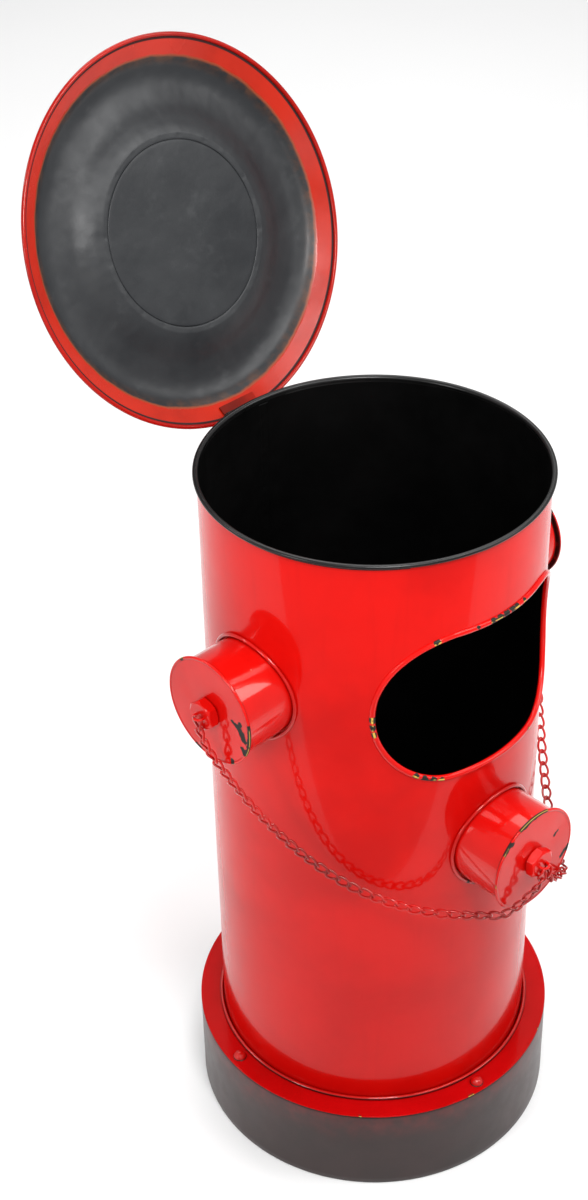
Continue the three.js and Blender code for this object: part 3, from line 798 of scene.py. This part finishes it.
# chips on the caps: (right, up, reach) from the cap's middle, seen from outside
LEFT_CHIPS = [
    (27, 4.6, 3.4), (30.5, 2.8, 4.4), (33.5, 1.5, 5.5), (35, 6.5, 4.2), (36.5, -2.5, 6.2), (38, -7, 5.6),
    (45, 8, 4.6), (45.4, 4, 4.6), (45.4, 0, 5), (45.1, -4, 5), (44.6, -8, 5), (43.6, -12, 4.6),
    (42.4, -16, 4.6), (40.8, -20, 4.4), (38.5, -19, 5.4), (36.5, -16.5, 4), (24.5, -35, 4.4),
    (25.5, -38, 4.5), (-29, 35, 4.6), (-39.5, -23.2, 3.6), (-13, -44, 5), (-17, -42.5, 4),
]
FRONT_CHIPS = [
    (11.4, 44.2, 4.6), (5, 45.2, 4.4), (-1, 45.2, 5.2), (-7, 45, 5.4), (-13, 43.4, 6), (-17, 42, 4.5),
    (-30.5, 33.5, 5.6), (-33, 30.5, 5), (-28, 33, 4.6), (-36, 28, 4), (26, 11.6, 2.8), (24.6, 9.8, 2.8),
    (28.2, 12.6, 2.2), (41.5, -14.5, 5.2), (38, -15.5, 4.4), (36, -17, 3.6), (34, -19, 3.2), (43, -12, 4),
]
RIGHT_CHIPS = [(-30, 33, 5), (-33, 30, 4.5), (12, -43.5, 5), (38, 22, 4.5), (-10, 28, 3)]
# chips on the collars: (point in the CAD's millimetres, reach)
COLLAR_CHIPS = {
    "left": [((-140, 9, 464.6), 3.2)],
    "front": [((-30, -135, 324), 4.0), ((-24, -137, 319.5), 4.0)],
}
COLLAR_LOOP = 44.3  # radius of the collar's middle line round its stub
COLLAR_WIRE = 1.55
NUT_FLATS = 23  # across flats
NUT_CONE = 1.75  # how fast the nut's round chamfer widens from its faces
STAPLE_HALF = 4
STAPLE_WIRE = 1.1
# an outlet's pieces here, and what the CAD calls them
CAD_NAMES = {"pipe": "stub", "ring": "collar", "disc": "cap", "nut": "nut", "staple": "staple"}


def outlet_place(out, height):
    """The matrix that turns an outlet's own frame (right, up, out) into the CAD's."""
    out = Vector(out)
    up = Vector((0, 0, 1))
    right = up.cross(out)
    return Matrix.Translation((0, 0, height * MM)) @ Matrix((right, up, out)).transposed().to_4x4()


def saddle(radius, distance, steps):
    """The loop where an outlet of a radius meets a cylinder round the tube, in the outlet's frame."""
    a = np.arange(steps) * TAU / steps
    x = radius * np.cos(a)
    return np.stack([x, radius * np.sin(a), np.sqrt(distance**2 - x**2)], 1)


def nut_shape(across_flats, thickness):
    """A hexagonal nut with both faces chamfered to a circle, standing on z = 0."""
    apothem = across_flats / 2
    angles = np.radians(np.arange(0, 360, 5.0))
    hexagon = apothem / np.cos((angles + math.pi / 6) % (math.pi / 3) - math.pi / 6)
    face = apothem * 0.93
    depths = [0, 0.25, 0.6, 1.0, 1.5, 2.0]
    heights = [*depths, *[thickness - d for d in depths[::-1]]]
    verts = [(0, 0, 0.0)]
    for z in heights:
        radius = np.minimum(hexagon, face + NUT_CONE * min(z, thickness - z))
        verts += [(r * math.cos(a), r * math.sin(a), z) for r, a in zip(radius, angles)]
    verts.append((0, 0, thickness))
    n, m = len(heights), len(angles)
    faces = grid(n, m, wrap_columns=True, start=1).tolist()
    last = 1 + (n - 1) * m
    faces += [[0, 1 + (k + 1) % m, 1 + k] for k in range(m)]
    faces += [[last + m, last + k, last + (k + 1) % m] for k in range(m)]
    return np.array(verts), faces


def add_outlet(name, out, height, nut_turn, chips, prefix):
    """A capped outlet: its stub, collar, cap, nut and staple, built along Z and then put in place."""
    place = outlet_place(out, height)

    def put(suffix, shape, material, sharp=35):
        return add_piece(
            name + "_" + suffix, shape[0], shape[1], "bin_body", material, place,
            [f"{prefix}_{CAD_NAMES[suffix]}"], sharp,
        )

    # stub: a pipe from the tube's surface to the cap
    steps = 128
    foot = saddle(STUB, TUBE - 0.6, steps)
    end = CAP_BACK - 0.3
    levels = np.concatenate([np.linspace(0, 0.94, 13), [0.955, 0.97, 1.0, 1.0]])
    outer = [np.column_stack([foot[:, :2], foot[:, 2] + (end - foot[:, 2]) * t]) for t in levels]
    shrink = (STUB - WALL) / STUB
    outer[-1] = outer[-1] * (shrink, shrink, 1)
    inner = np.column_stack([foot[:, :2] * shrink, foot[:, 2]])
    verts = np.vstack([*outer, inner])
    pipe = put("pipe", (verts, grid(len(levels) + 1, steps, wrap_rows=True, wrap_columns=True)), RED, 50)
    # painted shade: the stub's last rings under the cap's lip, and its inner ring, get "line" and show dark
    paint(pipe, "line", np.repeat([*(levels > 0.96), 1.0], steps).astype(float))

    # collar: a solder bead in the corner between stub and tube
    ring = saddle(COLLAR_LOOP, TUBE + 1.6, 144)
    shape = sweep(ring, COLLAR_WIRE * (1 + 0.10 * waves(ring, 9, len(name))), 12, True)
    collar = put("ring", shape, RED_TRIM, 0)
    collar_points = np.array([v.co for v in collar.data.vertices]) / MM
    paint(collar, "chip", spots(collar_points, COLLAR_CHIPS.get(name, [])))
    # painted shade: the collar's side towards the stub gets "line", a dark gap line
    from_axis = np.linalg.norm(shape[0][:, :2], axis=1)
    paint(collar, "line", np.clip((COLLAR_LOOP - 0.9 - from_axis) / 0.5, 0, 1))

    # cap: a flat disc with a rolled lip
    lip = 1.2
    lip_centre, lip_height = CAP_RADIUS - lip, (CAP_FACE + CAP_BACK) / 2
    face_edge = lip_centre - 0.9
    profile = [(0, CAP_BACK + 0.3)]
    profile += dense([[2.0, CAP_BACK + 0.3], [face_edge - 0.2, CAP_BACK + 0.3]], 6)
    profile += arc(lip_centre, lip_height, lip, -140, 140, 14)
    profile += [[face_edge - 0.35, CAP_FACE - 0.42]]
    profile += dense([[face_edge - 1.1, CAP_FACE - 0.32], [1.2, CAP_FACE - 0.10]], 1.3)
    profile += [(0, CAP_FACE - 0.10)]
    shape = revolve_capped(profile, 160)
    cap_verts = shape[0].copy()
    radius = np.linalg.norm(cap_verts[:, :2], axis=1)
    on_face = (cap_verts[:, 2] > CAP_FACE - 0.6) & (radius < face_edge - 1)
    ripple = waves(cap_verts, 22, 5.0 + len(name)) * 0.35
    cap_verts[on_face, 2] += np.minimum(ripple[on_face], 0.08)
    cap = put("disc", (cap_verts, shape[1]), RED_EDGE, 50)
    from_crest = np.hypot(radius - (CAP_RADIUS - 0.35), cap_verts[:, 2] - lip_height - 0.75)
    crest = np.clip(1 - from_crest / 0.9, 0, 1)
    paint(cap, "edge", crest**0.35)
    places = [((x, y, CAP_FACE - 0.3), reach) for x, y, reach in chips]
    paint(cap, "chip", spots(cap_verts, places))
    # painted shade: dark in the groove between face and lip, and on the back under the lip, through "line"
    groove = np.clip(1 - np.abs(radius - face_edge + 0.3) / 0.7, 0, 1) * (cap_verts[:, 2] > lip_height)
    paint(cap, "line", np.maximum(groove * 0.3, (cap_verts[:, 2] < CAP_BACK + 0.35) * 1.0))

    # nut and staple
    verts, faces = nut_shape(NUT_FLATS, NUT_FACE - CAP_FACE - 0.3)
    turn = Matrix.Rotation(math.radians(nut_turn), 3, "Z")
    verts = verts @ np.array(turn.transposed()) + (0, 0, CAP_FACE + 0.3)
    nut = put("nut", (verts, faces), RED_EDGE, 24)
    paint(nut, "edge", np.clip((np.linalg.norm(verts[:, :2], axis=1) - 12.2) / 1.1, 0, 1) * 0.7)
    root = NUT_FACE - 0.6
    half = STAPLE_HALF
    legs = [(-half, 0, root), (-half, 0, root + 1.4)]
    bow = [(-half * math.cos(a), 0, root + 1.7 + half * math.sin(a)) for a in np.linspace(0, math.pi, 13)]
    wire = smooth_line([*legs, *bow, (half, 0, root + 1.4), (half, 0, root)], 0.6)
    put("staple", sweep(wire, STAPLE_WIRE, 12, False), RED_EDGE, 40)


add_outlet("front", (0, -1, 0), FRONT_HEIGHT, 0, FRONT_CHIPS, "front_outlet")
add_outlet("left", (-1, 0, 0), SIDE_HEIGHT, 10, LEFT_CHIPS, "left_outlet")
add_outlet("right", (1, 0, 0), SIDE_HEIGHT, 20, RIGHT_CHIPS, "right_outlet")

# ---------- plinth

FOOT_BEAD = 139.3  # radius of the foot bead's middle line
FOOT_WIRE = 1.7
STUD_RADIUS = 5.5
STUD_HEIGHT = 5.0


def add_plinth():
    top = FLANGE_BOTTOM - 0.3
    profile = [(PLINTH - WALL, 0.4), (PLINTH - 0.9, 0), (PLINTH - 0.35, 0), (PLINTH, 0.5)]
    profile += dense([[PLINTH, 6.0], [PLINTH, top - 2.2]], 9)
    profile += [(PLINTH - 0.15, top - 0.9), (PLINTH - 0.6, top), (PLINTH - WALL, top)]
    verts, faces = revolve(profile, ROUND_STEPS)
    swing = waves(verts, 110, 6.0)[:, None] * 0.2
    verts = verts - verts * (1, 1, 0) / PLINTH * np.abs(swing)
    add_piece(
        "plinth_band", verts, faces, "bin_body", PLINTH_PAINT,
        stands_for=["plinth_skirt"], sharp=60,
    )

    edge = (FLANGE_TOP - FLANGE_BOTTOM) / 2
    profile = [(TUBE + 0.3, FLANGE_BOTTOM), (PLINTH - edge, FLANGE_BOTTOM)]
    profile += arc(PLINTH - edge, FLANGE_BOTTOM + edge, edge, -80, 80, 8)
    profile += dense([[PLINTH - edge, FLANGE_TOP], [TUBE + 0.3, FLANGE_TOP]], 2.5)
    verts, faces = revolve(profile, ROUND_STEPS)
    radius = np.linalg.norm(verts[:, :2], axis=1)
    flat = (radius < PLINTH - 1.5) & (verts[:, 2] > FLANGE_TOP - 0.1)
    verts[flat, 2] -= np.abs(waves(verts[flat], 40, 8.0)) * 0.12
    flange = add_piece(
        "flange_plate", verts, faces, "bin_body", RED_FLANGE,
        stands_for=["base_flange"], sharp=60,
    )
    paint(flange, "edge", np.clip((radius - PLINTH + 1.0) / 1.0, 0, 1) ** 0.5)

    # solder bead round the tube's foot
    centre = circle(FOOT_BEAD, FLANGE_TOP + 1.5)
    verts, faces = sweep(centre, FOOT_WIRE * (1 + 0.10 * waves(centre, 16, 9.0)), 12, True)
    bead = add_piece(
        "foot_solder", verts, faces, "bin_body", RED_TRIM, stands_for=["foot_bead"], sharp=0
    )
    # painted shade: dark contact lines low on the bead's inner and outer sides, next to the flange and tube
    corner = np.linalg.norm(verts[:, :2], axis=1) - FOOT_BEAD
    paint(bead, "line", np.clip(np.abs(corner) - 1.15, 0, 0.4) / 0.4 * (verts[:, 2] < FLANGE_TOP + 2.2))

    for i in range(1, 5):
        node = f"flange_stud_{i}"
        low, high = node_box(node)
        middle = (low + high) / 2
        profile = [(0, low.z - 0.3), (3, low.z - 0.3), (5.9, low.z - 0.3), (5.95, low.z + 0.1)]
        dome = np.linspace(0, 1.35, 12)
        rise = STUD_HEIGHT - 0.35
        profile += [(STUD_RADIUS * math.cos(a), low.z + 0.35 + rise * math.sin(a)) for a in dome]
        profile += [(0, low.z + STUD_HEIGHT)]
        verts, faces = revolve_capped(profile, 40)
        verts += (middle.x, middle.y, 0)
        stud = add_piece(
            f"stud_{i}", verts, faces, "bin_body", RED_TRIM, stands_for=[node], sharp=60
        )
        # painted shade: a dark ring at the stud's foot, where it meets the flange
        paint(stud, "line", (verts[:, 2] < low.z + 0.9).astype(float))


add_plinth()

# ---------- lid

# the lid's rounded shoulder, from the flange to the flat round the hole: (radius, depth from the rim plane)
SHOULDER = [(138, 10), (130.5, 15.8), (119, 18), (103, 15.8), (91, 10.9), (84.5, 8.4), (79.5, 7.1)]
HOLE = 73.4  # radius of the hole that the ashtray's disc covers
DISC = 79.0  # radius of the disc
DISC_STEP = 1.4  # how far the disc's middle is pressed into the hole
TACKS = 20  # tack welds round the hole


def lid_sheet():
    """The lid's inner face from rim to hole as [radius, depth], finely spaced."""
    slope = SHOULDER[0][1] / (LID_RADIUS - SHOULDER[0][0])
    start = LID_RADIUS - LID_BEAD - 0.8
    swell = smooth_line([(r, d, 0) for r, d in SHOULDER], 1.6)[:, :2].tolist()
    groove = [
        [r, (LID_RADIUS - r) * slope + dip] for r, dip in ((start, 1.0), (start - 0.8, 0.6), (start - 1.8, 0))
    ]
    flange = [*groove[:2], *dense([groove[2], swell[0]], 1.6)]
    lip = [[HOLE + 2.2, 6.98], [HOLE + 1.2, 7.02], [HOLE + 0.5, 7.15], [HOLE + 0.1, 7.5], [HOLE, 8.4]]
    return np.array([*flange[:-1], *swell, *dense([[78.5, 6.9], [HOLE + 3.2, 6.95]], 1.5), *lip])


def add_lid():
    inner = lid_sheet()
    count = len(inner)
    outer = inner[:-3][::-1] + (0, WALL)
    outer[0, 1] = 8.45
    profile = np.vstack([inner, outer])
    verts, faces = revolve(profile + (0, LID_RIM), ROUND_STEPS)
    radius = np.linalg.norm(verts[:, :2], axis=1)
    angle = np.arctan2(verts[:, 1], verts[:, 0])
    # hammer marks: stretched outwards, strongest on the fold, none on the painted flange
    marks = np.array(
        [
            noise.noise(Vector((math.cos(a) * 3.1 + 0.37, math.sin(a) * 3.1 + 0.41, r / 38)))
            + 0.4 * noise.noise(Vector((math.cos(a) * 9.3 + 0.23, math.sin(a) * 9.3 + 0.61, r / 15 + 4.3)))
            + 0.22 * noise.noise(Vector((math.cos(a) * 19 + 0.4, math.sin(a) * 19 + 0.7, r / 7 + 9.2)))
            for a, r in zip(angle, radius)
        ]
    )
    weight = np.clip((139.5 - radius) / 8, 0, 1) * np.clip((radius - 70) / 12, 0.25, 1)
    lift = marks * weight * 0.5
    # tack welds round the hole
    for k in range(TACKS):
        a = (k + 0.35 * noise.noise(Vector((k * 1.7, 0, 0)))) * TAU / TACKS
        tack = Vector(((HOLE + 2.6) * math.cos(a), (HOLE + 2.6) * math.sin(a)))
        far = np.hypot(verts[:, 0] - tack.x, verts[:, 1] - tack.y)
        size = 2.1 + 0.9 * noise.noise(Vector((0, k * 2.3, 0)))
        lift += 0.28 * np.exp(-((far / size) ** 2)) * (1 if k % 3 else -0.7) * (verts[:, 2] < LID_RIM + 7.4)
    verts[:, 2] += lift
    at_hole = np.clip((radius - 72) / 3, 0, 1) * np.clip((78 - radius) / 3, 0, 1)
    waver = 0.35 * waves(verts, 20, 11.0) * at_hole
    verts[:, :2] *= (1 + waver / 75)[:, None]
    shell = add_piece(
        "lid_sheet", verts, faces, "lid", LID_PAINT, OPEN_LID, ["lid_shell"], 50
    )
    paint(shell, "ring", radius)
    outside = (np.arange(len(profile)) > count) & (profile[:, 0] > 77)
    paint(shell, "back", np.repeat(outside, ROUND_STEPS).astype(float))

    middle = LID_RADIUS - LID_BEAD
    verts, faces = sweep(circle(middle, LID_RIM + LID_BEAD), LID_BEAD, 14, True)
    roll = add_piece("lid_roll", verts, faces, "lid", RED_ROLL, OPEN_LID, ["lid_rim_bead"], 0)
    low_side = LID_RIM + LID_BEAD - verts[:, 2]
    paint(roll, "edge", np.clip(low_side / LID_BEAD, 0, 1) * 0.8)

    bottom = LID_RIM + 7 + WALL + 0.3
    top = bottom + WALL
    sunk = bottom - DISC_STEP
    profile = [(0, sunk), *dense([[1.5, sunk], [HOLE - 1.0, sunk]], 2.2)]
    profile += [(HOLE - 0.45, sunk + 0.1), (HOLE - 0.08, sunk + 0.5), (HOLE - 0.05, bottom), (76, bottom)]
    profile += [(DISC - 0.4, bottom), (DISC, bottom + 0.3), (DISC, top - 0.3)]
    profile += [*dense([[DISC - 0.4, top], [1.5, top]], 2.2), (0, top)]
    verts, faces = revolve_capped(profile, 160)
    verts[:, 2] += (waves(verts, 34, 13.0) * 0.35 + waves(verts, 13, 15.0) * 0.12).clip(-0.25, 0.25)
    add_piece(
        "ashtray_disc", verts, faces, "lid", CHARCOAL, OPEN_LID, ["ashtray_plate"], 50
    )


add_lid()

# ---------- CAD nodes that stay

for node, material in (
    ("bottom_plate", BLACK_INSIDE), ("hinge_leaf_body", HINGE_PAINT), ("hinge_leaf_lid", HINGE_RED),
    ("hinge_pin", HINGE_PAINT), ("hinge_rivet_left", HINGE_PAINT), ("hinge_rivet_right", HINGE_PAINT),
):
    kept = frame["nodes"][node]
    kept.data.materials.clear()
    kept.data.materials.append(material)
    bevel = kept.modifiers.new("soft_edges", "BEVEL")
    bevel.width, bevel.segments, bevel.limit_method = 0.0002, 2, "ANGLE"
    bevel.angle_limit = math.radians(40)

# ---------- floor, world and lights

floor_shader = Shader("floor_white", Roughness=0.9, Specular_IOR_Level=0.1)
FLOOR_WHITE = floor_shader.finish(
    floor_shader.mix(floor_shader.noise(2, 3), (0.86, 0.86, 0.86), (0.89, 0.89, 0.89))
)
CAMERA_BACK = CAMERA_MATRIX.col[2]
TOWARDS_CAMERA = Vector((CAMERA_BACK.x, CAMERA_BACK.y, 0)).normalized()
FLOOR_HALF = 60  # metres from the object to the floor's edges
FLOOR_SPLIT = 0.50  # from here on towards the camera, the floor stays out of the gloss


def add_floor(name, near, far, in_gloss):
    """A strip of the floor, square to the camera's direction, between two distances from the object."""
    across = TOWARDS_CAMERA.cross(Vector((0, 0, 1)))
    places = ((near, -FLOOR_HALF), (near, FLOOR_HALF), (far, FLOOR_HALF), (far, -FLOOR_HALF))
    corners = [TOWARDS_CAMERA * d + across * w for d, w in places]
    mesh = bpy.data.meshes.new(name)
    mesh.from_pydata([(c.x, c.y, -0.0005) for c in corners], [], [(0, 1, 2, 3)])
    mesh.materials.append(FLOOR_WHITE)
    strip = new_object(name, mesh)
    strip.visible_glossy = in_gloss


add_floor("floor", -FLOOR_HALF, FLOOR_SPLIT, True)
add_floor("floor_front", FLOOR_SPLIT, FLOOR_HALF, False)

WORLD_STRENGTH = 0.52
world = bpy.data.worlds.new("studio")
bpy.context.scene.world = world
world.use_nodes = True
sky = world.node_tree.nodes["Background"].inputs
sky["Color"].default_value = (1, 1, 1, 1)
sky["Strength"].default_value = WORLD_STRENGTH
AIM = Vector((0, 0, 0.42))

# name, direction from the object, distance in metres, width, height, power in watts
SOFTBOXES = [
    ("right_front", (0.53, -0.62, 0.62), 2.2, 0.8, 0.8, 12),
    ("front_card", (-0.41, -0.88, 0.22), 2.4, 1.2, 0.6, 3),
    ("back_left", (-0.55, 0.60, 0.58), 2.2, 0.4, 0.4, 8),
    ("left", (-0.95, 0.05, 0.35), 2.4, 0.4, 0.8, 15),
    ("over_camera", (-0.42, -0.6, 1.1), 1.2, 0.3, 0.3, 9),
    ("top_front", (0.25, -0.6, 1.1), 1.3, 0.5, 0.4, 5),
    ("back_ceiling", (1.3, 1.35, 2.5), 3.0, 2.2, 2.2, 50),
]
for name, direction, distance, width, height, power in SOFTBOXES:
    light = bpy.data.lights.new(name, "AREA")
    light.shape, light.size, light.size_y, light.energy = "RECTANGLE", width, height, power
    lamp = new_object(name, light)
    lamp.location = AIM + Vector(direction).normalized() * distance
    if name != "back_ceiling":  # that one looks straight down
        lamp.rotation_euler = (lamp.location - AIM).to_track_quat("Z", "Y").to_euler()
    lamp.visible_camera = False
